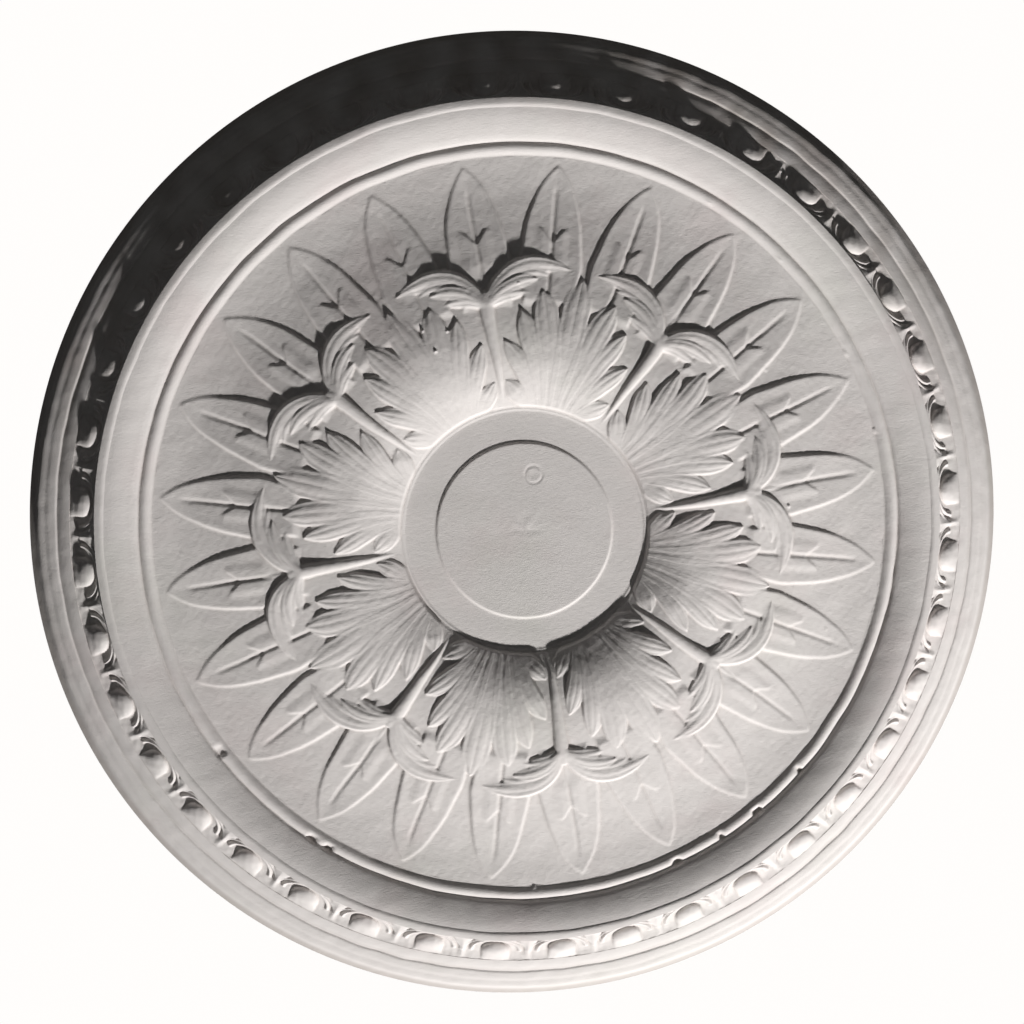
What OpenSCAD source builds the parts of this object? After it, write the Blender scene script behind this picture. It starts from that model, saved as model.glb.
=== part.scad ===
// Round plaster ceiling rose, cast in one piece.
// An egg-and-dart rim and a bead frame a field of lance leaves, which rises to a ring of acanthus
// leaves round a shallow bowl with a flat seat for a lamp's ceiling cup.
// The flat back lies on the ceiling at z = 0, and the carved face looks down along -Z.
// Heights in the source are measured down from the back.

/* [Overall] */
// Diameter of the back
rose_d = 600; // [510:5:800]
// Height of the rim's crest over the back
rim_h = 28; // [25:1:36]
// Height of the field beside the bead over the back
field_h = 21; // [17:1:23]

/* [Rim mouldings] */
// Height of the thin outer edge
edge_h = 6.5; // [5:0.5:8]
// Width of the sloping outer edge
edge_w = 7; // [4:0.5:10]
// Width of the plain band inside the edge
outer_band_w = 12; // [8:0.5:16]
// Width of the groove between the plain bands
groove_w = 1.6; // [1:0.1:2.5]
// Width of the plain band under the eggs
inner_band_w = 10.4; // [7:0.5:14]
// Rise of each plain band
band_rise = 4.4; // [3:0.2:5]
// Width of the egg-and-dart band
egg_band_w = 15.6; // [12:0.5:20]
// Width of the flat crest
crest_w = 7.2; // [4:0.5:10]
// Drop of the step inside the crest
crest_step = 0.7; // [0.5:0.1:1.5]
// Width of the inner ovolo
ovolo_w = 18; // [12:0.5:24]
// Width of the bead
bead_w = 6.6; // [4:0.2:9]
// Height of the bead over the field
bead_rise = 3; // [2:0.2:4]

/* [Egg and dart] */
// Number of eggs
egg_count = 40; // [32:1:44]
// Radius of each egg
egg_r = 8.2; // [6:0.1:9]
// Width of each dart at its widest
dart_w = 13; // [8:0.5:15]
// Height of each dart's ridge over the band
dart_rise = 2; // [1:0.5:2.5]

/* [Acanthus ring] */
// Number of acanthus leaves, each with a stem at its side
leaf_count = 8; // [8:1:10]
// Height of the ring's crest over the back
leaf_crest_h = 38; // [34:1:44]
// Radius of the ring's crest
leaf_crest_r = 113; // [108:1:118]
// Radius that the middle lobes reach
leaf_tip_r = 150; // [146:1:154]
// Thickness of a leaf over the ring's ground
leaf_t = 3.2; // [2.4:0.1:4.4]
// Height of a leaf's lip over the back, at the bowl's edge
leaf_lip_h = 27.2; // [26:0.2:30]

/* [Stems and scrolls] */
// Width of a stem where it leaves the bowl
stem_w = 4; // [3:0.5:6]
// Width of a stem at its node
node_w = 7; // [5:0.5:9]
// Radius of the node, where the scroll leaves spring
node_r = 140; // [136:1:144]
// Radius that the scroll leaves reach
scroll_r = 160; // [156:1:166]
// Angle between a stem and its scroll leaf's tip
scroll_a = 17; // [14:0.5:18]
// Widest width of a scroll leaf
scroll_w = 12; // [8:0.5:14]
// Length of the bud beyond the node
bud_len = 30; // [24:1:34]
// Width of the bud
bud_w = 9; // [6:0.5:11]

/* [Lance leaves] */
// Number of lance leaves
lance_count = 24; // [16:8:32]
// Widest width of a lance leaf
lance_w = 30; // [22:1:32]
// Radius at which a lance leaf is widest
lance_wide_r = 172; // [168:1:178]
// Space between a lance leaf's tip and the bead
lance_gap = 6; // [3:0.5:12]
// Height of a lance leaf's midrib over the field
lance_rise = 2; // [1.5:0.1:3]
// Radius inside which the field rises towards the acanthus leaves
field_bend_r = 212; // [190:1:214]

/* [Bowl] */
// Radius of the flat disc at the bottom of the bowl
bowl_r = 74.6; // [70:0.2:78]
// Height of the disc over the back
bowl_h = 24; // [20:0.5:25]
// Radius of the raised lamp seat
seat_r = 53; // [48:0.5:58]
// Height of the lamp seat over the disc
seat_rise = 1.2; // [0.8:0.1:2]

/* [Hidden] */
PLASTER = [0.88, 0.87, 0.85];
TURN_FN = 180;
CURVE_STEPS = 8;
SINK = 4;

rim_r = rose_d / 2;
band_r = rim_r - edge_w;
groove_r = band_r - outer_band_w;
egg_foot_r = groove_r - groove_w - inner_band_w;
crest_out_r = egg_foot_r - egg_band_w;
crest_in_r = crest_out_r - crest_w;
bead_out_r = crest_in_r - ovolo_w;
bead_in_r = bead_out_r - bead_w;
groove_h = edge_h + band_rise;
groove_deep = 1.2;
egg_foot_h = groove_h + band_rise;
egg_top_h = rim_h - crest_step;
bowl_lip = 1;
ground_r = bowl_r + bowl_lip;
ground_crest_h = leaf_crest_h - leaf_t;
ground_lip_h = leaf_lip_h - leaf_t / 2;
leaf_a = 360 / leaf_count;
lobe_at = [0, 0.46, 0.69, 0.83, 0.93];
lobe_reach = [1, 0.88, 0.66, 0.45, 0.25];
lobe_half = [0.24, 0.14, 0.09, 0.06, 0.05];
lobe_droop = 0.2;
lobe_root = 0.14;
valley_deep = leaf_t / 2;
leaf_rings = 5;

function mix(a, b, t) = a + (b - a) * t;
function ease(t) = (1 - cos(180 * min(max(t, 0), 1))) / 2;
function polar(r, a) = [r * cos(a), r * sin(a)];

// A quarter-ellipse from foot to top, steep at the foot and level at the top
function ovolo(foot, top) = [
    for (i = [0 : CURVE_STEPS])
        let (t = 90 * i / CURVE_STEPS)
        [mix(top[0], foot[0], cos(t)), mix(foot[1], top[1], sin(t))]
];

// Height of the plain ground under the acanthus leaves and of the field's slope
function ground(r) =
    r < leaf_crest_r
        ? mix(ground_lip_h, ground_crest_h, sin(90 * max(r - ground_r, 0) / (leaf_crest_r - ground_r)))
        : mix(ground_crest_h, field_h, ease((r - leaf_crest_r) / (field_bend_r - leaf_crest_r)));

function reversed(list) = [for (i = [len(list) - 1 : -1 : 0]) list[i]];

seat_profile = [
    [0, 0],
    [0, bowl_h + seat_rise],
    [seat_r - seat_rise / 2, bowl_h + seat_rise],
    [seat_r, bowl_h + seat_rise / 2],
    [seat_r, bowl_h],
    [bowl_r, bowl_h],
    [ground_r, ground_lip_h]
];
bowl_profile = [
    for (i = [1 : 2 * CURVE_STEPS])
        let (r = mix(ground_r, field_bend_r, i / (2 * CURVE_STEPS)))
        [r, ground(r)]
];
bead_profile = [
    for (i = [0 : CURVE_STEPS])
        let (a = 180 - 180 * i / CURVE_STEPS)
        [(bead_in_r + bead_out_r) / 2 + bead_w / 2 * cos(a), field_h + bead_rise * sin(a)]
];
inner_ovolo = ovolo([bead_out_r + 0.1, field_h], [crest_in_r, egg_top_h]);
crest_profile = [
    [crest_in_r, rim_h],
    [crest_out_r, rim_h]
];
egg_ovolo = reversed(ovolo([egg_foot_r, egg_foot_h], [crest_out_r, egg_top_h]));
edge_profile = [
    [groove_r - groove_w, groove_h],
    [groove_r - groove_w * 0.6, groove_h - groove_deep],
    [groove_r - groove_w * 0.4, groove_h - groove_deep],
    [groove_r, groove_h],
    [band_r, edge_h],
    [rim_r - 1, 2],
    [rim_r, 1.5],
    [rim_r, 0]
];

// The turned body: every moulding that runs all the way round
module turned_body() {
    rotate_extrude($fn = TURN_FN)
        polygon(concat(
            seat_profile, bowl_profile, bead_profile, inner_ovolo,
            crest_profile, egg_ovolo, edge_profile
        ));
}

// A ridged blade cut across: its two edges on the ground and its ridge over it
function blade_section(p, side, half_w, edge, ridge) =
    let (left = p + side * half_w, right = p - side * half_w)
    [
        [left[0], left[1], ground(norm(left)) - SINK],
        [left[0], left[1], ground(norm(left)) + edge],
        [p[0], p[1], ground(norm(p)) + ridge],
        [right[0], right[1], ground(norm(right)) + edge],
        [right[0], right[1], ground(norm(right)) - SINK]
    ];

// A carved blade along a path, with its half width, edge height and ridge height at each point
module blade(path, half_w, edge, ridge) {
    last = len(path) - 1;
    points = [
        for (i = [0 : last])
            let (
                along = path[min(i + 1, last)] - path[max(i - 1, 0)],
                side = [-along[1], along[0]] / norm(along)
            )
            each blade_section(path[i], side, half_w[i], edge, ridge[i])
    ];
    skin = [
        for (i = [0 : last - 1], j = [0 : 4])
            let (a = 5 * i + j, b = 5 * i + (j + 1) % 5)
            each [[a, b + 5, b], [a, a + 5, b + 5]]
    ];
    foot = [[0, 1, 2], [0, 2, 4], [2, 3, 4]];
    tip = [for (f = foot) reversed(f) + 5 * last * [1, 1, 1]];
    polyhedron(points, concat(skin, foot, tip));
}

// A lance leaf, from under the acanthus leaves to its tip by the bead
module lance_leaf() {
    tip_r = bead_in_r - lance_gap;
    steps = 7;
    radii = [for (i = [0 : steps]) mix(node_r, tip_r, i / steps)];
    widths = [
        for (r = radii)
            r < lance_wide_r
                ? mix(lance_w * 0.35, lance_w / 2, sin(90 * (r - node_r) / (lance_wide_r - node_r)))
                : max(lance_w / 2 * pow(cos(90 * (r - lance_wide_r) / (tip_r - lance_wide_r)), 0.9), 0.4)
    ];
    ridges = [for (w = widths) min(lance_rise, 0.8 + w / 3)];
    blade([for (r = radii) [r, 0]], widths, 0.8, ridges);
}

// Share of the way from the bowl's lip to the middle lobe's tip that a leaf reaches at an angle,
// where 0 is the leaf's middle and 1 is its edge
function lobe_arc(u, k) = lobe_reach[k] - lobe_droop * pow((u - lobe_at[k]) / lobe_half[k], 2);
function leaf_reach(u) = max([lobe_root, for (k = [0 : len(lobe_at) - 1]) lobe_arc(u, k)]);

// 1 along the middle of a lobe, falling to 0 in the valley between two lobes
function lobe_ridge(u) = max([0, for (k = [0 : len(lobe_at) - 1]) 1 - abs(u - lobe_at[k]) / lobe_half[k]]);

// The angles at which a leaf is cut across: along its lobes, its valleys and half way between
function half_leaf_cuts() = [
    for (k = [0 : len(lobe_at) - 2], q = [0 : 3])
        mix(lobe_at[k], lobe_at[k + 1], q / 4),
    lobe_at[len(lobe_at) - 1]
];

function leaf_top(r, share, u) =
    let (
        swell = sin(90 * min(max((r - ground_r) / (leaf_crest_r - ground_r), 0), 1)),
        fold = 1 - 0.35 * pow(u, 3)
    )
    ground(r)
        + leaf_t * fold * mix(0.5, 1, swell) * (1 - 0.35 * pow(share, 4))
        - valley_deep * (1 - lobe_ridge(u)) * share * swell;

// The ring of acanthus leaves as one skin, lobed along its outer edge
module acanthus_ring() {
    half = half_leaf_cuts();
    cuts = concat([-1], -1 * reversed(half), [for (i = [1 : len(half) - 1]) half[i]]);
    turns = [for (leaf = [0 : leaf_count - 1], u = cuts) [leaf_a * (leaf + (1 + u) / 2), abs(u)]];
    columns = len(turns);
    lip_r = ground_r + 1;
    top = [
        for (turn = turns, j = [0 : leaf_rings])
            let (share = j / leaf_rings, r = mix(lip_r, leaf_tip_r, leaf_reach(turn[1]) * share))
            [r * cos(turn[0]), r * sin(turn[0]), leaf_top(r, share, turn[1])]
    ];
    rows = leaf_rings + 1;
    under = [
        for (i = [0 : columns - 1], j = [0, leaf_rings])
            let (p = top[i * rows + j])
            [p[0], p[1], bowl_h - SINK]
    ];
    low = columns * rows;
    skin = [
        for (i = [0 : columns - 1], j = [0 : leaf_rings - 1])
            let (a = i * rows + j, b = (i + 1) % columns * rows + j)
            each [[a, b, b + 1], [a, b + 1, a + 1]]
    ];
    walls = [
        for (i = [0 : columns - 1])
            let (k = (i + 1) % columns, a = low + 2 * i, b = low + 2 * k)
            each [
                [i * rows, a, b], [i * rows, b, k * rows],
                [i * rows + leaf_rings, b + 1, a + 1],
                [i * rows + leaf_rings, k * rows + leaf_rings, b + 1],
                [a, a + 1, b + 1], [a, b + 1, b]
            ]
    ];
    polyhedron(concat(top, under), concat(skin, walls));
}

// A stem in the valley between two acanthus leaves, and the bud beyond its node
module stem_and_bud() {
    steps = 6;
    radii = [for (i = [0 : steps]) mix(ground_r + 2, node_r + 3, i / steps)];
    blade(
        [for (r = radii) [r, 0]],
        [for (i = [0 : steps]) mix(stem_w, node_w, pow(i / steps, 2)) / 2],
        2,
        [for (r = radii) leaf_t * 0.9]
    );
    bud_steps = 5;
    blade(
        [for (i = [0 : bud_steps]) [node_r - 4 + (bud_len + 4) * i / bud_steps, 0]],
        [for (i = [0 : bud_steps]) max(bud_w / 2 * sin(25 + 150 * i / bud_steps), 0.5)],
        2,
        [for (i = [0 : bud_steps]) mix(leaf_t, 2.5, i / bud_steps)]
    );
}

// A scroll leaf that springs from the node and curls back at its tip
module scroll_leaf(turn) {
    steps = 7;
    path = [
        for (i = [0 : steps])
            let (t = i / steps)
            polar(mix(node_r - 2, scroll_r - scroll_w / 2, sin(150 * t)), turn * mix(1, scroll_a, t))
    ];
    blade(
        path,
        [for (i = [0 : steps]) max(scroll_w / 2 * pow(sin(12 + 166 * i / steps), 0.8), 0.5)],
        2,
        [for (i = [0 : steps]) leaf_t * mix(1.2, 0.9, i / steps)]
    );
}

// An egg, half sunk in its band
module egg() {
    egg_at = (egg_foot_r + crest_out_r) / 2 - 0.5;
    translate([egg_at, 0, mix(egg_foot_h, egg_top_h, 0.72) - egg_r * 0.6])
        sphere(r = egg_r, $fn = 24);
}

// A dart between two eggs, a ridged tongue down the slope of the band
module dart() {
    reach = egg_band_w - 2;
    mid_r = (egg_foot_r + crest_out_r) / 2;
    slope = (egg_top_h - egg_foot_h) / egg_band_w;
    deep = 5;
    corners = [
        [mid_r - reach / 2, 0], [mid_r, dart_w / 2], [mid_r + reach / 2, 0], [mid_r, -dart_w / 2]
    ];
    low = [for (c = corners) [c[0], c[1], egg_foot_h + slope * (egg_foot_r - c[0]) - deep]];
    high = [for (p = low) p + [0, 0, deep + dart_rise / 2]];
    crown = [mid_r, 0, egg_foot_h + slope * egg_band_w / 2 + 2.2 * dart_rise];
    polyhedron(
        concat(low, high, [crown]),
        [
            [0, 2, 1], [0, 3, 2],
            [4, 1, 5], [4, 0, 1], [5, 2, 6], [5, 1, 2], [6, 3, 7], [6, 2, 3], [7, 0, 4], [7, 3, 0],
            [5, 8, 4], [6, 8, 5], [7, 8, 6], [4, 8, 7]
        ]
    );
}

module ceiling_rose() {
    color(PLASTER)
        rotate([180, 0, 0]) {
            turned_body();
            for (i = [0 : egg_count - 1])
                rotate(360 / egg_count * (i + 0.5))
                    egg();
            for (i = [0 : egg_count - 1])
                rotate(360 / egg_count * i)
                    dart();
            for (i = [0 : lance_count - 1])
                rotate(360 / lance_count * i)
                    lance_leaf();
            acanthus_ring();
            for (i = [0 : leaf_count - 1])
                rotate(leaf_a * i) {
                    stem_and_bud();
                    scroll_leaf(1);
                    scroll_leaf(-1);
                }
        }
}

ceiling_rose();
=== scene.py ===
"""Round cast plaster ceiling rose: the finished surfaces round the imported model.

The relief is worked out in millimetres on the rose's face. A place there is its radius and its
angle from +X, and its height is measured down from the flat back. Stems stand every 45 degrees.
"""
import math

import bmesh
import bpy
import numpy as np
from mathutils import Euler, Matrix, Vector


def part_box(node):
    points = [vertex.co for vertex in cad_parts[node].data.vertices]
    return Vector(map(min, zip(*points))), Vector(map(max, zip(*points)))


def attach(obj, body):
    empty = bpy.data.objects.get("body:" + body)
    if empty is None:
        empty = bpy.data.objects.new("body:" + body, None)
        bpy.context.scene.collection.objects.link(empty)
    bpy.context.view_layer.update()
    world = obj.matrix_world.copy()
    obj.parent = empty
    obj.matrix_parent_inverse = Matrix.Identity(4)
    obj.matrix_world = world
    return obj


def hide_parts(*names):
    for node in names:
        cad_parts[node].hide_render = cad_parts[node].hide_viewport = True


bl_info = {
    "name": "Ceiling Rose",
    "version": (1, 0, 0),
    "blender": (4, 5, 0),
    "location": "View3D > Sidebar > Ceiling Rose",
    "description": "Builds a cast plaster ceiling rose with an acanthus ring and an egg-and-dart rim",
    "category": "Add Mesh",
}

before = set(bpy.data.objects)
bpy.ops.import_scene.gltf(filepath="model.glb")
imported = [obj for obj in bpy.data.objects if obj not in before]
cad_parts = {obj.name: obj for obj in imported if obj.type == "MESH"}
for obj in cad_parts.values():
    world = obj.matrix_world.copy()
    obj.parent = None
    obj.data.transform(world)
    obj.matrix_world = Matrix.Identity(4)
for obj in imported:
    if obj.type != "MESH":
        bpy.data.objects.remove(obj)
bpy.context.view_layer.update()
NODE = "ceiling_rose"
LOW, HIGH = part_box(NODE)

MM = 0.001
LEAVES = 8
LANCES = 24
EGGS = 40
BAY = 360 / LEAVES

# radii where one piece ends and the next begins, from the bowl outwards
HUB_R = 73.6
BAY_OUT_R = 168.0
LANCE_OUT_R = 221.0
CREST_OUT_R = 253.6
EGG_OUT_R = 271.6
BACK_R = 290.0

# radii and sizes of the mouldings, and the place of the plug mark in the disc
LIP_R = 75.6
BEAD_R = 225.9
BEAD_HALF = 4.1
BEAD_RISE = 1.9
OVOLO_FOOT_R = 229.4
STEP_R = 248.4
EGG_IN_R = 253.4
EGG_R = 262.0
EGG_APEX_R = 264.0
PLUG_AT = (10.9, -32.4)

# height of the pieces' hidden undersides, and of the flat back's
HIDDEN_H = 4.0
BACK_H = 3.0

# distance over which the surface is averaged to find hollows, and the depth under it for the full painted
# shade there
HOLLOW_REACH = 2.6
HOLLOW_DEEP = 1.5

# columns round the pieces that have no driving spacing
DISC_COLUMNS = 360
MOULDING_COLUMNS = 900
EGG_COLUMNS = 67 * EGGS
BORDER_COLUMNS = 720
BACK_COLUMNS = 180

# the floor's half width in metres and its glow, and the strength of the surround's light
FLOOR_HALF = 6.0
FLOOR_GLOW = 1.1
FILL_LIGHT = 0.018


# ------------------------------------------------------------------ sizes and colours

class RoseSizes(bpy.types.PropertyGroup):
    """Driving sizes of the rose."""

    rim_radius: bpy.props.FloatProperty(
        name="Rim radius", description="Radius of the flat back",
        default=(HIGH.x - LOW.x) / 2, unit="LENGTH")
    crest_height: bpy.props.FloatProperty(
        name="Crest height", description="Height of the rim's crest over the back",
        default=0.028, unit="LENGTH")
    field_height: bpy.props.FloatProperty(
        name="Field height", description="Height of the field beside the bead over the back",
        default=0.021, unit="LENGTH")
    disc_height: bpy.props.FloatProperty(
        name="Disc height", description="Height of the disc in the bowl over the back",
        default=0.024, unit="LENGTH")
    seat_radius: bpy.props.FloatProperty(
        name="Seat radius", description="Radius of the raised lamp seat",
        default=0.053, unit="LENGTH")
    seat_rise: bpy.props.FloatProperty(
        name="Seat rise", description="Height of the lamp seat over the disc",
        default=0.0012, unit="LENGTH")
    leaf_spacing: bpy.props.FloatProperty(
        name="Leaf spacing", description="Distance between the lines that carve the leaves",
        default=0.0006, unit="LENGTH")
    field_spacing: bpy.props.FloatProperty(
        name="Field spacing", description="Distance between the lines that carve the field",
        default=0.0009, unit="LENGTH")


class RoseFinish(bpy.types.PropertyGroup):
    """Colours of the plaster."""

    plaster: bpy.props.FloatVectorProperty(
        name="Plaster", description="Clean cast plaster",
        default=(0.805, 0.768, 0.752), size=3, subtype="COLOR", min=0, max=1)
    rosy: bpy.props.FloatVectorProperty(
        name="Rosy stain", description="Faint pink patches",
        default=(0.77, 0.695, 0.685), size=3, subtype="COLOR", min=0, max=1)
    mossy: bpy.props.FloatVectorProperty(
        name="Grey-green stain", description="Faint grey-green patches",
        default=(0.70, 0.70, 0.65), size=3, subtype="COLOR", min=0, max=1)
    # brown that paints shade in the hollows and on the rim's far side, and darkens the outer edge
    painted_shade: bpy.props.FloatVectorProperty(
        name="Painted_shade", description="Brown dirt in the hollows and on the rim",
        default=(0.25, 0.20, 0.165), size=3, subtype="COLOR", min=0, max=1)
    floor: bpy.props.FloatVectorProperty(
        name="Floor", description="Plain pale floor",
        default=(0.80, 0.80, 0.79), size=3, subtype="COLOR", min=0, max=1)


class RoseStage(bpy.types.PropertyGroup):
    """Camera, lights and floor."""

    camera_at: bpy.props.FloatVectorProperty(
        name="Camera place", description="Where the camera stands, under the rose",
        default=(-0.0322, -0.0712, -0.7116), size=3, subtype="TRANSLATION")
    camera_turn: bpy.props.FloatVectorProperty(
        name="Camera turn", description="How the camera is turned",
        default=tuple(math.radians(a) for a in (175.557, 3.005, 9.666)), size=3, subtype="EULER")
    camera_lens: bpy.props.FloatProperty(
        name="Lens", description="Focal length on a 36 mm sensor", default=40.43)
    key_angle: bpy.props.FloatProperty(
        name="Key angle", description="Side of the rose that the key lamp stands at, from +X",
        default=math.radians(77), subtype="ANGLE")
    key_rise: bpy.props.FloatProperty(
        name="Key rise", description="Angle of the key lamp's light to the rose's face",
        default=math.radians(25), subtype="ANGLE")
    key_distance: bpy.props.FloatProperty(
        name="Key distance", description="Distance of the key lamp", default=4.5, unit="LENGTH")
    key_aim: bpy.props.FloatVectorProperty(
        name="Key aim", description="Place that the key lamp shines at, to one side of the rose",
        default=(5.5, 0, 0), size=3, subtype="TRANSLATION")
    key_size: bpy.props.FloatProperty(
        name="Key size", description="Width of the key lamp", default=0.24, unit="LENGTH")
    key_power: bpy.props.FloatProperty(
        name="Key power", description="Power of the key lamp in watts", default=515)
    top_at: bpy.props.FloatVectorProperty(
        name="Top lamp place", description="Where the weak lamp over the back stands",
        default=(0.6, -0.9, 1.9), size=3, subtype="TRANSLATION")
    top_size: bpy.props.FloatProperty(
        name="Top lamp size", description="Width of the lamp over the back", default=1.6, unit="LENGTH")
    top_power: bpy.props.FloatProperty(
        name="Top lamp power", description="Power of the lamp over the back in watts", default=30)
    floor_drop: bpy.props.FloatProperty(
        name="Floor drop", description="How far the floor lies under the back",
        default=1.6, unit="LENGTH")


# ------------------------------------------------------------------ small helpers

def clip01(t):
    """t kept between 0 and 1."""
    return np.clip(t, 0.0, 1.0)


def ease(t):
    """0 to 1 with a level start and end."""
    t = clip01(t)
    return t * t * (3 - 2 * t)


def hump(x, middle, half):
    """1 at the middle, falling smoothly to 0 at half to each side."""
    return 1 - ease(np.abs(x - middle) / half)


def curve(x, points):
    """A smooth line through (x, height) points."""
    xs, hs = np.array(points, float).T
    rises = np.diff(hs) / np.diff(xs)
    slopes = np.concatenate([rises[:1], (rises[1:] + rises[:-1]) / 2, rises[-1:]])
    x = np.clip(x, xs[0], xs[-1])
    k = np.clip(np.searchsorted(xs, x, "right") - 1, 0, len(xs) - 2)
    wide = xs[k + 1] - xs[k]
    t = (x - xs[k]) / wide
    return (hs[k] * (1 + 2 * t) * (1 - t) ** 2 + slopes[k] * wide * t * (1 - t) ** 2
            + hs[k + 1] * (3 - 2 * t) * t ** 2 + slopes[k + 1] * wide * (t - 1) * t ** 2)


def blend_max(a, b, soft):
    """The higher of two surfaces, with a fillet of about that size where they meet."""
    near = np.maximum(soft - np.abs(a - b), 0) / soft
    return np.maximum(a, b) + near * near * soft / 4


def flat(r, a):
    """x and y of the places at those radii and angles in degrees."""
    return r * np.cos(np.radians(a)), r * np.sin(np.radians(a))


def ripple(x, y, length, seed, waves=12):
    """Smooth unevenness between about -1 and 1, with bumps of about that length."""
    dice = np.random.default_rng(seed)
    total = np.zeros_like(x)
    for _ in range(waves):
        turn = dice.uniform(0, 2 * math.pi)
        pitch = 2 * math.pi / (length * dice.uniform(0.7, 1.6))
        start = dice.uniform(0, 2 * math.pi)
        total += np.sin((x * math.cos(turn) + y * math.sin(turn)) * pitch + start)
    return total / math.sqrt(waves) / 1.4


def cast_skin(x, y):
    """The fine unevenness of the leaves' cast surface."""
    return 0.10 * ripple(x, y, 14, 7) + 0.05 * ripple(x, y, 5, 8)


# ------------------------------------------------------------------ carving tools

def blade(x, y, path, half, belly=0.7, root=0.3, point=0.75, steps=18):
    """A leaf-shaped outline along a curved line from path[0], pulled by path[1], to path[2].

    Gives each place's share of the way along, its side offset as a share of the half width,
    and how far inside the outline it lies.
    """
    p0, p1, p2 = (np.array(p, float) for p in path)
    best = np.full(x.shape, np.inf)
    along = np.zeros_like(x)
    side = np.zeros_like(x)
    ts = np.linspace(0, 1, steps + 1)
    line = [p0 * (1 - t) ** 2 + 2 * p1 * t * (1 - t) + p2 * t * t for t in ts]
    for k, (a, b) in enumerate(zip(line[:-1], line[1:])):
        d = b - a
        long2 = d @ d
        s = clip01(((x - a[0]) * d[0] + (y - a[1]) * d[1]) / long2)
        gap = np.hypot(x - a[0] - s * d[0], y - a[1] - s * d[1])
        nearer = gap < best
        best = np.where(nearer, gap, best)
        along = np.where(nearer, (k + s) / steps, along)
        turn = np.sign((x - a[0]) * d[1] - (y - a[1]) * d[0])
        side = np.where(nearer, turn * gap, side)
    grow = root + (1 - root) * np.sin(math.pi / 2 * clip01(along / belly))
    fall = (1 - clip01((along - belly) / (1 - belly)) ** 2) ** point
    width = half * np.where(along < belly, grow, fall)
    across = side / np.maximum(width, 0.6)
    return along, across, width - best


def set_on(ground, top, inside, steep=2.6, soft=0.5, edge=0.9, drop=0.5):
    """Sets a leaf on the ground: its edge is rounded and its wall falls at the casting's draft."""
    rounded = drop * (1 - clip01(inside / edge)) ** 2
    wall = steep * np.maximum(-inside, 0)
    return blend_max(ground, top - rounded - wall, soft)


def ribs(across, count, deep):
    """Fine grooves that run along a leaf."""
    across = np.clip(across, -1, 1)
    return -deep * (0.5 - 0.5 * np.cos(2 * math.pi * count * (across + 1) / 2)) ** 2


# ------------------------------------------------------------------ the turned mouldings

def bead_and_ovolo(r, k):
    """Heights of the field, the bead, the ovolo and the crest inside the eggs."""
    field = np.full_like(r, k.field)
    bead = k.field + BEAD_RISE * np.cos(math.pi / 2 * np.clip((r - BEAD_R) / BEAD_HALF, -1, 1))
    ovolo = curve(r, [(OVOLO_FOOT_R, k.field), (230.6, k.crest - 5.6), (232, k.crest - 4.7),
                      (236, k.crest - 3.1), (240, k.crest - 1.9), (244, k.crest - 1.1),
                      (248, k.crest - 0.8), (254, k.crest - 0.8)])
    ovolo = np.where(r > OVOLO_FOOT_R, ovolo, 0)
    step = np.where(r > STEP_R, k.crest - 0.1 - 0.6 * ((r - 248.8) / 4.8) ** 2, 0)
    step = step - 0.5 * np.clip((249.8 - r) / 1.4, 0, 1)
    return np.maximum(np.maximum(field, bead), np.maximum(ovolo, step))


def plain_bands(r):
    """Heights of the two plain bands outside the eggs and of the sloping edge."""
    points = [(270, 15.3), (271, 15.4), (272, 15.2), (274, 14.6), (277, 13.3), (279.6, 11.7),
              (280.4, 11.2), (281.2, 11.5), (283, 11.2), (286.4, 10.1), (287.6, 9.4),
              (290.5, 8.4), (292.4, 7.4), (293.2, 6.7), (296, 3.9), (299, 1.3), (300, 0.5)]
    return curve(r, points)


def egg_and_dart(r, a, k):
    """Heights of the egg-and-dart band; x is the distance along the band from an egg's middle."""
    unit = 360 / EGGS
    x = np.radians(np.abs(a % unit - unit / 2)) * EGG_R
    ground = curve(r, [(EGG_IN_R, k.crest - 2.8), (255.5, k.crest - 4.8), (259, k.crest - 7.6),
                       (264, 17.4), (268, 15.8), (271.6, 15.1)])
    brow = curve(r, [(EGG_IN_R, k.crest - 1.8), (255.5, k.crest - 2.3), (259, k.crest - 3.4),
                     (264, 21.8), (268, 18.2), (271.6, 15.2)])
    inward = np.maximum(EGG_APEX_R - r, 0)
    egg_q = np.sqrt((x / 9.0) ** 2 + (inward / 7.8) ** 2)
    egg = 1.42 * np.sqrt(clip01(1 - egg_q ** 2.2))
    shell_q = np.sqrt((x / 15.2) ** 2 + (inward / 9.5) ** 2)
    husk_q = np.sqrt((x / 19.6) ** 2 + (inward / 10.7) ** 2)
    before = 1 - ease((r - EGG_APEX_R) / 1.6)
    shell = 0.62 * hump(shell_q, 1.0, 0.13) * before
    husk = 0.72 * hump(husk_q, 1.0, 0.10) * before
    dart_x = math.radians(unit / 2) * EGG_R - x
    dart_half = 1.2 + 5.4 * clip01(inward / 9.5)
    dart = (0.98 - 0.5 * clip01(dart_x / dart_half)) * ease((dart_half - dart_x) / 0.9) * before
    tongue = 0.5 * clip01(1 - dart_x / 2.6) * ease((r - 263) / 1.5) * (1 - ease((r - 269.5) / 1.5))
    raised = np.maximum.reduce([egg, shell, husk, dart, tongue])
    edge = ease((r - EGG_IN_R) / 0.8) * (1 - ease((r - 270.6) / 1.0))
    return ground + (brow - ground) * (0.78 * raised * edge + (1 - ease((r - EGG_IN_R) / 0.9)))


# ------------------------------------------------------------------ the leaves

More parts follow.
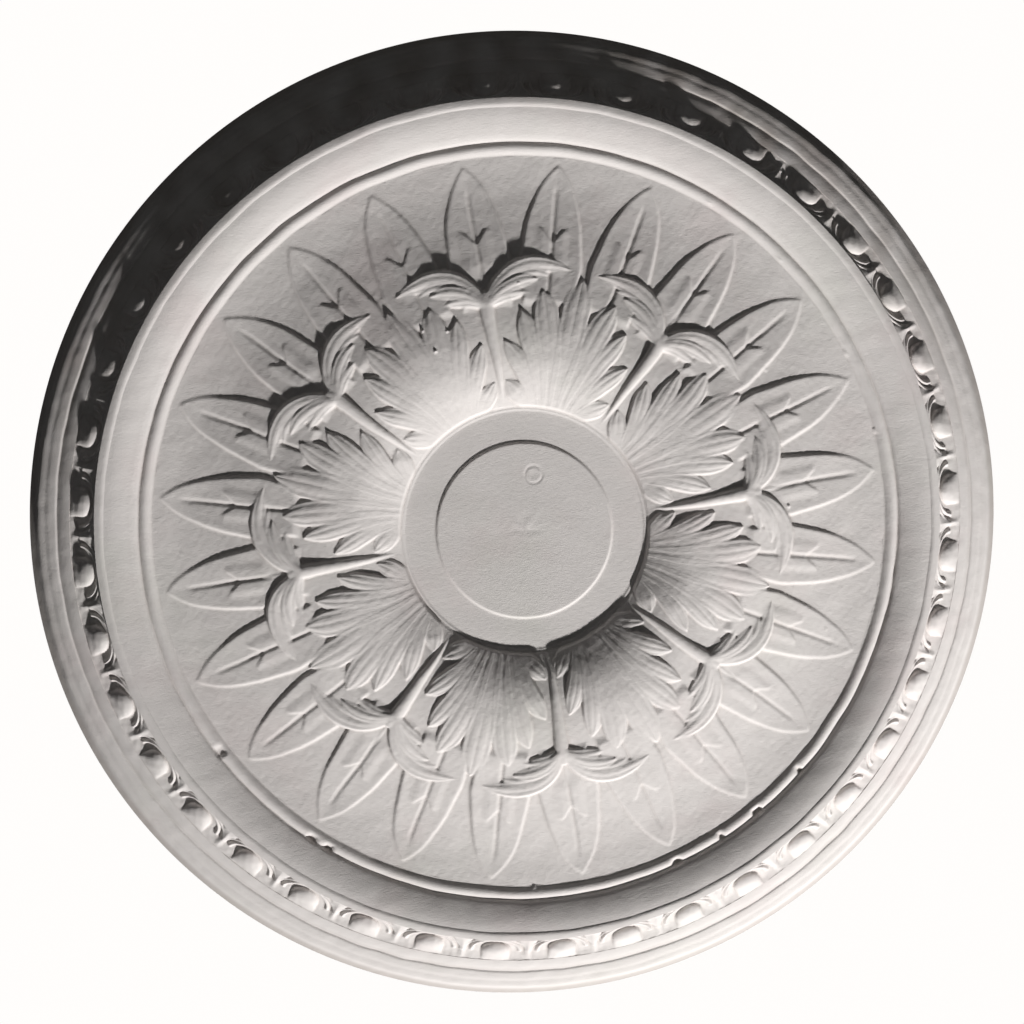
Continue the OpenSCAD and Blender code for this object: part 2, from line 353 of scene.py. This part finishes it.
def slope(r, k):
    """Ground under the leaves: from the bowl's lip over a low ridge and down to the field."""
    return k.field + curve(r, [(LIP_R, 4.6), (80, 6.6), (85, 8.6), (90, 10.2), (100, 12.4), (108, 13.2),
                               (113, 13.4), (120, 13.2), (130, 12.2), (140, 10.6), (150, 8.7),
                               (160, 6.8), (170, 4.9), (180, 3.1), (190, 1.6), (200, 0.5),
                               (208, 0.05), (212, 0.0), (224, 0.0)])


def leaf_line(r):
    """Height of the acanthus leaves along the radius."""
    return curve(r, [(LIP_R, 27.2), (80, 29.3), (90, 33.4), (100, 36.0), (108, 36.8), (113, 37.0),
                     (120, 36.8), (130, 35.6), (140, 33.9), (147, 32.1), (153, 30.6)])


def lance_leaves(r, a, k):
    """The field's slope with its lance leaves on it."""
    gap = 360 / LANCES
    x, y = flat(r, a)
    off = (a + 0.12 * ripple(x, y, 40, 12) + gap / 2) % gap - gap / 2
    s = np.radians(off) * r
    half = curve(r, [(138, 14.0), (150, 16.4), (160, 17.7), (166, 17.2), (172, 16.6), (180, 15.8),
                     (188, 14.5), (195, 12.7), (203, 9.9), (209, 6.6), (213, 3.6), (216, 1.0),
                     (217, 0.0), (224, -7)])
    inside = half - np.abs(s)
    share = clip01(np.abs(s) / np.maximum(half, 1.0))
    ground = slope(r, k)
    thick = 1.1 - 0.6 * ease((r - 172) / 40)
    top = ground + thick * (1 + 0.5 * share ** 1.5)
    groove = 0.85 * np.exp(-(s / 1.1) ** 2) * (1 - ease((r - 198) / 10))
    fork_r = 173.5 + 7.0 * ease(np.abs(s) / 7.5)
    cheek = 0.7 * ease((fork_r - r) / 2.0) * ease((r - 150) / 10) * (1 - ease((np.abs(s) - 5.0) / 6.0))
    top = top - groove + cheek
    return set_on(ground, top, inside, steep=1.1, soft=0.5, edge=1.4, drop=0.3)


LOBES = (
    # root, pull and tip of each lobe from the leaf's middle, half width, belly, tip's fall
    (((0.0, 70), (0.0, 112), (0.0, 152.0)), 8.7, 0.78, 0.0),
    (((3.6, 72), (9.0, 112), (22.2, 141.0)), 7.6, 0.76, 0.3),
    (((7.4, 73), (12.5, 100), (31.6, 126.6)), 6.6, 0.74, 0.9),
    (((11.0, 74), (17.5, 91), (36.8, 107.4)), 5.6, 0.72, 1.4),
    (((13.0, 72.5), (21.0, 78), (31.4, 84.6)), 5.4, 0.64, 1.4),
)


def acanthus_leaf(ground, r, b):
    """Sets one acanthus leaf on the ground; b is the angle from the leaf's middle."""
    x = r * np.sin(np.radians(b))
    y = r * np.cos(np.radians(b))
    line = leaf_line(r)
    for path, half, belly, fall in LOBES:
        along, across, inside = blade(x, y, path, half, belly, root=0.34)
        size = 0.12 + 0.88 * ease((along - 0.35) / 0.5)
        bow = np.minimum(across ** 2, 2.4) * 0.9 * size
        top = line - bow - fall * ease((along - 0.62) / 0.38)
        top = top + ribs(across, 3, 0.28 * size)
        ground = set_on(ground, top, inside, steep=2.4, soft=0.7)
    return ground


SCROLL = (
    # start, pull and end from the stem, half width, belly, heights at the start, middle and end
    (((1.0, 134), (9.5, 141.5), (24.8, 138.6)), 3.7, 0.62, (35.6, 34.6, 33.0)),
    (((2.0, 136), (15.0, 148.5), (32.2, 145.6)), 4.3, 0.62, (35.8, 34.2, 31.9)),
    (((14.0, 147), (29.0, 152.5), (38.2, 146.6)), 3.6, 0.6, (32.8, 32.0, 30.6)),
    (((1.6, 137), (17.0, 164.5), (52.0, 147.4)), 5.4, 0.6, (35.2, 32.2, 30.2)),
)


def stem_and_scrolls(ground, r, u):
    """Sets a stem, its two scroll leaves, their sepals and the bud on the ground."""
    x = r * np.sin(np.radians(np.abs(u)))
    y = r * np.cos(np.radians(u))
    stem_h = curve(r, [(LIP_R, 26.8), (80, 29.2), (90, 32.8), (100, 35.2), (110, 36.2), (120, 36.5),
                       (130, 36.3), (138, 35.6), (146, 33.4)])
    stem_half = curve(r, [(LIP_R, 1.4), (90, 2.0), (100, 2.5), (112, 3.2), (124, 3.6), (134, 3.9),
                          (142, 3.0)])
    round_off = 1.4 * (x / stem_half) ** 2
    end = np.maximum(r - 142, 0)
    ground = set_on(ground, stem_h - np.minimum(round_off, 1.6), stem_half - np.maximum(x, end + 2))
    sepal = ((1.0, 139), (5.0, 151), (14.5, 159.5))
    along, across, inside = blade(x, y, sepal, 3.6, 0.6, root=0.5)
    top = 32.6 - 3.4 * along - 0.6 * np.minimum(across ** 2, 2) + ribs(across, 2, 0.3)
    ground = set_on(ground, top, inside)
    along, across, inside = blade(x, y, ((0.0, 138), (0.0, 152), (0.0, 166.6)), 4.7, 0.6, root=0.5)
    top = 34.0 - 6.9 * along - 1.4 * np.minimum(np.abs(across), 1.4)
    ground = set_on(ground, top, inside)
    for path, half, belly, heights in SCROLL:
        along, across, inside = blade(x, y, path, half, belly, root=0.55)
        line = curve(along, [(0, heights[0]), (0.5, heights[1]), (1, heights[2])])
        bow = 0.8 * np.minimum(across ** 2, 2)
        top = line - bow + ribs(across, 2, 0.28 * ease(along / 0.3))
        ground = set_on(ground, top, inside, steep=1.8, soft=0.8)
    return ground


def leaf_ring(r, a, k):
    """Heights of the bowl's wall, the acanthus ring, the stems and the lance leaves' inner ends."""
    x, y = flat(r, a)
    loose = ease((r - 79) / 8) * (1 - ease((r - 158) / 8))
    r2 = r + 0.55 * loose * ripple(x, y, 46, 3)
    a2 = a + np.degrees(0.6 * loose * ripple(x, y, 52, 5) / r)
    u = (a2 + BAY / 2) % BAY - BAY / 2
    ground = slope(r2, k) + (lance_leaves(r, a, k) - slope(r, k)) * ease((r - 132) / 6)
    ground = acanthus_leaf(ground, r2, BAY / 2 - np.abs(u))
    ground = stem_and_scrolls(ground, r2, u)
    ring = ground + cast_skin(x, y)
    wall = ease((r - HUB_R - 0.2) / 1.9)
    return disc(r, a, k) * (1 - wall) + ring * wall


def disc(r, a, k):
    """Heights of the disc in the bowl and of the lamp seat on it."""
    x, y = flat(r, a)
    seat = k.disc + k.rise * (1 - ease((r - k.seat + 0.9) / 1.8))
    lip = 0.5 * ease((r - 71.5) / 1.6)
    from_plug = np.hypot(x - PLUG_AT[0], y - PLUG_AT[1])
    plug = 0.35 * hump(from_plug, 5.2, 1.0) + 0.2 * hump(from_plug, 0, 4)
    wear = 0.25 * hump(np.hypot(x - 1, y + 1), 0, 14) * ripple(x, y, 7, 21)
    return seat + lip - plug + wear + 0.09 * ripple(x, y, 26, 9)


# ------------------------------------------------------------------ wear

# angle, radius, width and depth of the breaks in the bead
BEAD_BREAKS = ((60.3, 228.5, 5.5, 2.6), (67.0, 227.5, 3.0, 2.2), (75.0, 228.5, 4.0, 2.5),
               (131.3, 228.6, 4.6, 2.5), (134.2, 228.6, 4.2, 2.3), (153.7, 227.0, 5.0, 2.0),
               (51.0, 227.5, 2.4, 1.7))
# angle, radius, size and height of the pips that the mould left
PIPS = ((354, 222.0, 1.5, 1.1), (347, 222.4, 1.2, 0.9), (341, 222.0, 1.6, 1.2), (336, 174, 1.2, 0.8),
        (4.4, 160, 1.5, 1.2), (252.5, 132.5, 1.3, 1.3), (258.5, 126.5, 1.4, 1.2), (253.2, 118.5, 1.5, 1.2),
        (309, 224, 1.3, 1.0), (323, 223, 1.4, 1.0), (278, 146, 1.1, 0.9), (215, 199, 1.0, 0.6),
        (186, 205, 1.1, 0.6), (120, 190, 1.0, 0.6), (28, 196, 1.2, 0.7), (98, 222, 1.3, 0.9))


def worn(h, r, a):
    """The surface with its pips and its breaks."""
    for at, ring, size, high in PIPS:
        s = np.radians((a - at + 180) % 360 - 180) * r
        h = h + high * (1 - ease(np.hypot(s, r - ring) / size))
    for at, ring, wide, deep in BEAD_BREAKS:
        s = np.radians((a - at + 180) % 360 - 180) * r
        cut = (1 - ease((np.abs(s) - wide / 2) / 0.8)) * hump(r, ring, 4.5)
        h = h - deep * cut * (r < 231)
    return h


# ------------------------------------------------------------------ meshes

class Sizes:
    """The driving sizes in millimetres."""

    def __init__(self, sizes):
        self.rim = round(sizes.rim_radius / MM)
        self.crest = sizes.crest_height / MM
        self.field = sizes.field_height / MM
        self.disc = sizes.disc_height / MM
        self.seat = sizes.seat_radius / MM
        self.rise = sizes.seat_rise / MM
        self.leaf_step = sizes.leaf_spacing / MM
        self.field_step = sizes.field_spacing / MM


def columns_for(radius, step):
    """How many columns go round the rose at that spacing, the same number in each bay."""
    return int(round(2 * math.pi * radius / step / LEAVES)) * LEAVES


def blurred(h, rows, columns):
    """The surface averaged over that many rows and columns."""
    h = np.pad(h, ((rows, rows), (0, 0)), mode="edge")
    h = np.stack([h[k:len(h) - 2 * rows + k] for k in range(2 * rows + 1)]).mean(0)
    total = np.zeros_like(h)
    for k in range(-columns, columns + 1):
        total += np.roll(h, k, axis=1)
    return total / (2 * columns + 1)


def hollows(h, r, step_a):
    """How deep each place lies under its surroundings, from 0 to 1; it sets the painted shade in hollows.
    """
    rows = max(1, int(round(HOLLOW_REACH / max(np.diff(r).mean(), 0.1))))
    columns = max(1, int(round(HOLLOW_REACH / (step_a * r.mean()))))
    return clip01((blurred(h, rows, columns) - h) / HOLLOW_DEEP)


def shell(name, r, h, start, sweep, hidden_h, marks):
    """A closed shell: a grid bent round the middle, whose seen lines lie at the heights h.

    r holds the radius of each seen line and h its height at each column. A level underside at
    the height hidden_h closes the shell behind. marks holds named values like h.
    """
    full = sweep > 359.9
    steps = h.shape[1] if full else h.shape[1] - 1
    closed = r[0] > 0
    outline = np.array([*r, r[-1], r[0]] + ([r[0]] if closed else []), float)
    bm = bmesh.new()
    bmesh.ops.create_grid(bm, x_segments=steps, y_segments=len(outline) - 1, size=1.0)
    mesh = bpy.data.meshes.new(name)
    bm.to_mesh(mesh)
    bm.free()

    count = len(mesh.vertices)
    co = np.empty(count * 3)
    mesh.vertices.foreach_get("co", co)
    co = co.reshape(-1, 3)
    column = np.rint((co[:, 0] + 1) / 2 * steps).astype(int)
    row = np.rint((co[:, 1] + 1) / 2 * (len(outline) - 1)).astype(int)
    if full:
        column %= steps
    if closed:
        row %= len(outline) - 1
    seen = row < len(r)
    column[outline[row] <= 0] = 0
    height = np.empty(count)
    height[seen] = h[row[seen], column[seen]]
    height[~seen] = hidden_h
    turn = start + math.radians(sweep) * column / steps
    co = np.stack([outline[row] * np.cos(turn), outline[row] * np.sin(turn), -height], axis=1) * MM
    mesh.vertices.foreach_set("co", co.ravel())
    for mark, values in marks.items():
        layer = mesh.attributes.new(mark, "FLOAT", "POINT")
        found = np.zeros(count)
        found[seen] = values[row[seen], column[seen]]
        layer.data.foreach_set("value", found)

    ends = np.empty(len(mesh.edges) * 2, int)
    mesh.edges.foreach_get("vertices", ends)
    ends = ends.reshape(-1, 2)
    e_row, e_col = row[ends], column[ends]
    side = (e_row >= len(r) - 1).all(1) | (e_row == 0).all(1) & closed | (e_row >= len(r)).any(1)
    if not full:
        side |= (e_col == 0).all(1) | (e_col == steps).all(1)
    sharp = mesh.attributes.new("sharp_edge", "BOOLEAN", "EDGE")
    sharp.data.foreach_set("value", side)

    bm = bmesh.new()
    bm.from_mesh(mesh)
    bmesh.ops.remove_doubles(bm, verts=bm.verts, dist=1e-6)
    if not full:
        bmesh.ops.holes_fill(bm, edges=[e for e in bm.edges if e.is_boundary], sides=0)
    bmesh.ops.recalc_face_normals(bm, faces=bm.faces)
    bm.to_mesh(mesh)
    bm.free()
    mesh.polygons.foreach_set("use_smooth", [True] * len(mesh.polygons))
    mesh.update()
    piece = bpy.data.objects.new(name, mesh)
    bpy.context.scene.collection.objects.link(piece)
    return piece


def finished(piece, material):
    """Gives a piece its material, and its place in the frame."""
    piece.data.materials.append(material)
    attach(piece, "root")
    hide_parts(NODE)
    return piece


def spaced(first, last, step):
    """Evenly spaced radii from first to last."""
    return np.linspace(first, last, int(round((last - first) / step)) + 1)


def grid(r, columns, first=0.0):
    """Radius and angle in degrees of every crossing of the lines and the columns."""
    a = first + np.arange(columns) * 360.0 / columns
    return np.meshgrid(r, a, indexing="ij")


def rim_far_shade_and_edge(r, a):
    """How much the rim's outer mouldings are darkened: painted shade on the side away from the key lamp,
    and a darker band along the outer edge.
    """
    # painted shade: the side of the rim away from the key lamp
    far = hump(a, 270, 110)
    x, y = flat(r, a)
    # a darker band along the outer edge, all round
    edge = 0.45 * ease((r - 293) / 4)
    return clip01(far * ease((r - 250) / 14) * (0.55 + 0.45 * ripple(x, y, 24, 31)) + edge)


def ring_piece(name, r, h, rr, aa):
    """A full ring of the rose, with its marks and finish."""
    marks = {"hollow_shade": hollows(h, r, 2 * math.pi / h.shape[1]), "far_shade_and_edge": rim_far_shade_and_edge(rr, aa)}
    return finished(shell(name, r, h, 0.0, 360.0, HIDDEN_H, marks), plaster_material())


# ------------------------------------------------------------------ shader tools

class Value:
    """A shader socket that takes part in arithmetic."""

    def __init__(self, tree, socket):
        self.tree = tree
        self.socket = socket

    def node(self, kind, settings=None, out=0, **inputs):
        """Adds a node, sets it up, fills its sockets and gives its output."""
        node = self.tree.nodes.new(kind)
        for key, value in (settings or {}).items():
            setattr(node, key, value)
        for key, value in inputs.items():
            name = key.replace("_", " ")
            socket = node.inputs[int(key[1:])] if key[1:].isdigit() else node.inputs[name]
            if isinstance(value, Value):
                self.tree.links.new(value.socket, socket)
            else:
                socket.default_value = value
        return Value(self.tree, node.outputs[out])

    def maths(self, operation, a, b):
        """One Math node."""
        return self.node("ShaderNodeMath", {"operation": operation}, i0=a, i1=b)

    def __add__(self, other):
        return self.maths("ADD", self, other)

    __radd__ = __add__

    def __mul__(self, other):
        return self.maths("MULTIPLY", self, other)

    __rmul__ = __mul__

    def between(self, low, high):
        """0 at low and 1 at high, kept between them."""
        return self.node("ShaderNodeMapRange", {"interpolation_type": "SMOOTHSTEP"},
                         Value=self, From_Min=low, From_Max=high)

    def tint(self, colour, share):
        """This colour mixed with another by share."""
        return self.node("ShaderNodeMix", {"data_type": "RGBA"}, out=2, i0=share, i6=self, i7=colour)

    def stretched(self, scale, turn):
        """Coordinates turned and stretched."""
        return self.node("ShaderNodeMapping", {"vector_type": "POINT"},
                         Vector=self, Scale=scale, Rotation=turn)

    def noise(self, scale, detail):
        """Cloudy noise at that many bumps a metre."""
        return self.node("ShaderNodeTexNoise", Vector=self, Scale=scale, Detail=detail, Roughness=0.55)


def rgba(colour):
    """A colour with full cover."""
    return (*colour, 1.0)


def new_material(name):
    """An empty material with its tree, its shader and its Object coordinates."""
    material = bpy.data.materials.new(name)
    material.use_nodes = True
    tree = material.node_tree
    shader = tree.nodes["Principled BSDF"]
    coordinates = tree.nodes.new("ShaderNodeTexCoord")
    return material, tree, shader, Value(tree, coordinates.outputs["Object"])


def mark_value(place, name):
    """A named value that the mesh carries."""
    return place.node("ShaderNodeAttribute", {"attribute_name": name}, out=2)


def plaster_material():
    """Matt cast plaster with faint stains, painted shade in its hollows and on the rim's side away from
    the key lamp, a darker outer edge, brush strokes and grain.
    """
    if "cast_plaster" in bpy.data.materials:
        return bpy.data.materials["cast_plaster"]
    finish = bpy.context.scene.rose_finish
    material, tree, shader, place = new_material("cast_plaster")
    hollow_shade = mark_value(place, "hollow_shade")
    far_shade_and_edge = mark_value(place, "far_shade_and_edge")
    rosy = place.noise(16, 4).between(0.50, 0.72)
    mossy = place.stretched((1, 1, 1), (0, 0, 1.1)).noise(11, 4).between(0.50, 0.74)
    cloud = place.noise(60, 5).between(0.30, 0.75)
    colour = place.node("ShaderNodeMix", {"data_type": "RGBA"}, out=2,
                        i0=cloud * 0.35, i6=rgba(finish.plaster),
                        i7=rgba([c * 0.93 for c in finish.plaster]))
    colour = colour.tint(rgba(finish.rosy), rosy * 0.55)
    colour = colour.tint(rgba(finish.mossy), mossy * 0.45)
    # painted shade: recesses are darkened toward brown
    colour = colour.tint(rgba(finish.painted_shade), hollow_shade * 0.38)
    # painted shade on the rim's side away from the key lamp, and the darker outer edge
    colour = colour.tint(rgba(finish.painted_shade), far_shade_and_edge * 0.7)
    tree.links.new(colour.socket, shader.inputs["Base Color"])

    strokes = place.stretched((260, 1500, 600), (0, 0, 0.7)).noise(1.0, 4)
    grain = place.noise(1500, 3)
    dabs = place.noise(300, 3)
    relief = strokes * 0.35 + grain * 0.35 + dabs * 0.5
    bump = place.node("ShaderNodeBump", Strength=0.55, Distance=0.0006, Height=relief)
    tree.links.new(bump.socket, shader.inputs["Normal"])
    rough = cloud * 0.08 + 0.86
    tree.links.new(rough.socket, shader.inputs["Roughness"])
    shader.inputs["Specular IOR Level"].default_value = 0.25
    return material


# ------------------------------------------------------------------ pieces

class ROSE_OT_seat_disc(bpy.types.Operator):
    """Builds the disc in the bowl, with the raised lamp seat"""

    bl_idname = "rose.seat_disc"
    bl_label = "Seat Disc"

    def execute(self, context):
        k = Sizes(context.scene.rose_sizes)
        r = np.concatenate([spaced(0, 26, 2.6), spaced(26.8, 41.2, 0.8), spaced(43, 49, 3),
                            spaced(50.6, 55.4, 0.6), spaced(57, 71, 1.4), spaced(71.6, HUB_R, 0.5)])
        rr, aa = grid(r, DISC_COLUMNS)
        h = disc(rr, aa, k)
        ring_piece("lamp_seat_disc", r, h, rr, aa)
        return {"FINISHED"}


class ROSE_OT_acanthus_bays(bpy.types.Operator):
    """Builds the acanthus ring in eight bays, each a stem with its scrolls and two half leaves"""

    bl_idname = "rose.acanthus_bays"
    bl_label = "Acanthus Bays"

    def execute(self, context):
        k = Sizes(context.scene.rose_sizes)
        r = spaced(HUB_R, BAY_OUT_R, k.leaf_step)
        columns = columns_for(120, k.leaf_step)
        rr, aa = grid(r, columns, -BAY / 2)
        h = worn(leaf_ring(rr, aa, k), rr, aa)
        hollow_shade = hollows(h, r, 2 * math.pi / columns)
        far_shade_and_edge = rim_far_shade_and_edge(rr, aa % 360)
        n = columns // LEAVES
        for bay in range(LEAVES):
            cut = np.arange(bay * n, (bay + 1) * n + 1) % columns
            marks = {"hollow_shade": hollow_shade[:, cut], "far_shade_and_edge": far_shade_and_edge[:, cut]}
            start = math.radians((bay - 0.5) * BAY)
            piece = shell(f"acanthus_bay_{bay + 1}", r, h[:, cut], start, BAY, HIDDEN_H, marks)
            finished(piece, plaster_material())
        return {"FINISHED"}


class ROSE_OT_lance_field(bpy.types.Operator):
    """Builds the field with its lance leaves"""

    bl_idname = "rose.lance_field"
    bl_label = "Lance Field"

    def execute(self, context):
        k = Sizes(context.scene.rose_sizes)
        r = spaced(BAY_OUT_R, LANCE_OUT_R, k.field_step)
        rr, aa = grid(r, columns_for(195, k.field_step))
        x, y = flat(rr, aa)
        h = worn(lance_leaves(rr, aa, k) + cast_skin(x, y), rr, aa)
        ring_piece("lance_leaf_field", r, h, rr, aa)
        return {"FINISHED"}


class ROSE_OT_inner_mouldings(bpy.types.Operator):
    """Builds the bead, the ovolo and the crest"""

    bl_idname = "rose.inner_mouldings"
    bl_label = "Bead, Ovolo and Crest"

    def execute(self, context):
        k = Sizes(context.scene.rose_sizes)
        r = np.concatenate([spaced(LANCE_OUT_R, 234, 0.5), spaced(234.8, 247, 1.0),
                            spaced(247.6, 249.4, 0.3), spaced(250, 252, 1.0),
                            spaced(252.4, CREST_OUT_R, 0.4)])
        rr, aa = grid(r, MOULDING_COLUMNS)
        x, y = flat(rr, aa)
        h = bead_and_ovolo(rr + 0.25 * ripple(x, y, 30, 14), k) + 0.07 * ripple(x, y, 12, 15)
        h = worn(h, rr, aa)
        ring_piece("bead_ovolo_and_crest", r, h, rr, aa)
        return {"FINISHED"}


class ROSE_OT_egg_band(bpy.types.Operator):
    """Builds the egg-and-dart band"""

    bl_idname = "rose.egg_band"
    bl_label = "Egg and Dart"

    def execute(self, context):
        k = Sizes(context.scene.rose_sizes)
        r = spaced(CREST_OUT_R, EGG_OUT_R, 0.53)
        rr, aa = grid(r, EGG_COLUMNS)
        x, y = flat(rr, aa)
        h = egg_and_dart(rr + 0.3 * ripple(x, y, 22, 17), aa + 0.12 * ripple(x, y, 26, 18), k)
        h = h + 0.12 * ripple(x, y, 5, 19)
        ring_piece("egg_and_dart_band", r, h, rr, aa)
        return {"FINISHED"}


class ROSE_OT_plain_border(bpy.types.Operator):
    """Builds the two plain bands, the sloping edge and the turn onto the back"""

    bl_idname = "rose.plain_border"
    bl_label = "Plain Border"

    def execute(self, context):
        k = Sizes(context.scene.rose_sizes)
        face = np.concatenate([spaced(EGG_OUT_R, 279, 0.9), spaced(279.5, 281.5, 0.4),
                               spaced(282.3, 291.4, 1.0), spaced(292, 294, 0.4),
                               spaced(294.8, 299.7, 0.7)])
        r = np.concatenate([face, [k.rim - 0.05, k.rim - 0.4, k.rim - 1.5, BACK_R]])
        rr, aa = grid(r, BORDER_COLUMNS)
        x, y = flat(rr, aa)
        h = plain_bands(rr + 0.3 * ripple(x, y, 24, 22) * ease((299 - rr) / 8))
        h = h + 0.1 * ripple(x, y, 9, 23)
        h[-4:] = np.array([0.6, 0.15, 0.0, 0.0])[:, None]
        ring_piece("plain_border", r, h, rr, aa)
        return {"FINISHED"}


class ROSE_OT_flat_back(bpy.types.Operator):
    """Builds the flat back that lies on the ceiling"""

    bl_idname = "rose.flat_back"
    bl_label = "Flat Back"

    def execute(self, context):
        r = spaced(0, BACK_R, 10.0)
        rr, aa = grid(r, BACK_COLUMNS)
        x, y = flat(rr, aa)
        h = (0.25 + 0.2 * ripple(x, y, 60, 41)) * ease((BACK_R - rr) / 25)
        marks = {"hollow_shade": h * 0, "far_shade_and_edge": h * 0}
        piece = shell("flat_back", r, np.maximum(h, 0), 0.0, 360.0, BACK_H, marks)
        finished(piece, plaster_material())
        return {"FINISHED"}


# ------------------------------------------------------------------ stage

def area_lamp(name, at, aim, size, power, colour):
    """A round area lamp that stands at one place and shines at another."""
    lamp = bpy.data.lights.new(name, "AREA")
    lamp.shape = "DISK"
    lamp.size = size
    lamp.energy = power
    lamp.color = colour
    holder = bpy.data.objects.new(name, lamp)
    holder.location = at
    away = holder.location - Vector(aim)
    holder.rotation_euler = away.to_track_quat("Z", "Y").to_euler()
    holder.visible_camera = False
    bpy.context.scene.collection.objects.link(holder)


def pale_world():
    """A white surround that gives only a little light."""
    world = bpy.data.worlds.new("studio")
    bpy.context.scene.world = world
    world.use_nodes = True
    tree = world.node_tree
    tree.nodes["Background"].inputs["Color"].default_value = (1.0, 0.985, 0.97, 1.0)
    rays = tree.nodes.new("ShaderNodeLightPath")
    strength = Value(tree, rays.outputs["Is Camera Ray"]) * (1 - FILL_LIGHT) + FILL_LIGHT
    tree.links.new(strength.socket, tree.nodes["Background"].inputs["Strength"])


class ROSE_OT_stage(bpy.types.Operator):
    """Builds the floor, the lamps and the camera"""

    bl_idname = "rose.stage"
    bl_label = "Stage"

    def execute(self, context):
        scene = context.scene
        stage = scene.rose_stage
        bm = bmesh.new()
        bmesh.ops.create_grid(bm, x_segments=1, y_segments=1, size=FLOOR_HALF)
        bmesh.ops.translate(bm, verts=bm.verts, vec=(0, 0, -stage.floor_drop))
        mesh = bpy.data.meshes.new("floor")
        bm.to_mesh(mesh)
        bm.free()
        floor = bpy.data.objects.new("floor", mesh)
        scene.collection.objects.link(floor)
        material, _, shader, _ = new_material("pale_floor")
        shader.inputs["Base Color"].default_value = rgba(scene.rose_finish.floor)
        shader.inputs["Roughness"].default_value = 0.9
        shader.inputs["Emission Color"].default_value = rgba(scene.rose_finish.floor)
        shader.inputs["Emission Strength"].default_value = FLOOR_GLOW
        mesh.materials.append(material)
        floor.visible_diffuse = False
        floor.visible_shadow = False

        out = math.cos(stage.key_rise) * stage.key_distance
        key = (out * math.cos(stage.key_angle), out * math.sin(stage.key_angle),
               -math.sin(stage.key_rise) * stage.key_distance)
        area_lamp("key", key, stage.key_aim, stage.key_size, stage.key_power, (1.0, 0.985, 0.965))
        area_lamp("top", stage.top_at, (0, 0, 0), stage.top_size, stage.top_power, (1.0, 0.99, 0.98))
        pale_world()

        camera = bpy.data.cameras.new("camera")
        camera.lens = stage.camera_lens
        camera.sensor_width = 36
        camera.clip_start = 0.01
        holder = bpy.data.objects.new("camera", camera)
        holder.location = stage.camera_at
        holder.rotation_euler = Euler(stage.camera_turn)
        scene.collection.objects.link(holder)
        scene.camera = holder
        scene.view_settings.view_transform = "Standard"
        return {"FINISHED"}


class ROSE_PT_panel(bpy.types.Panel):
    """Lists the rose's pieces in the sidebar"""

    bl_idname = "ROSE_PT_panel"
    bl_label = "Ceiling Rose"
    bl_space_type = "VIEW_3D"
    bl_region_type = "UI"
    bl_category = "Ceiling Rose"

    def draw(self, context):
        for group in (context.scene.rose_sizes, context.scene.rose_finish, context.scene.rose_stage):
            box = self.layout.box()
            for name in group.__annotations__:
                box.prop(group, name)
        for step in STEPS:
            self.layout.operator(step.bl_idname)


GROUPS = {"rose_sizes": RoseSizes, "rose_finish": RoseFinish, "rose_stage": RoseStage}
STEPS = (ROSE_OT_seat_disc, ROSE_OT_acanthus_bays, ROSE_OT_lance_field, ROSE_OT_inner_mouldings,
         ROSE_OT_egg_band, ROSE_OT_plain_border, ROSE_OT_flat_back, ROSE_OT_stage)
CLASSES = (*GROUPS.values(), *STEPS, ROSE_PT_panel)


def register():
    """Adds the classes and the settings."""
    for cls in CLASSES:
        bpy.utils.register_class(cls)
    for name, group in GROUPS.items():
        setattr(bpy.types.Scene, name, bpy.props.PointerProperty(type=group))


def unregister():
    """Takes the settings and the classes away."""
    for name in GROUPS:
        delattr(bpy.types.Scene, name)
    for cls in reversed(CLASSES):
        bpy.utils.unregister_class(cls)


def main():
    """Builds the rose and its stage."""
    register()
    bpy.ops.rose.seat_disc()
    bpy.ops.rose.acanthus_bays()
    bpy.ops.rose.lance_field()
    bpy.ops.rose.inner_mouldings()
    bpy.ops.rose.egg_band()
    bpy.ops.rose.plain_border()
    bpy.ops.rose.flat_back()
    bpy.ops.rose.stage()


if __name__ == "__main__":
    main()
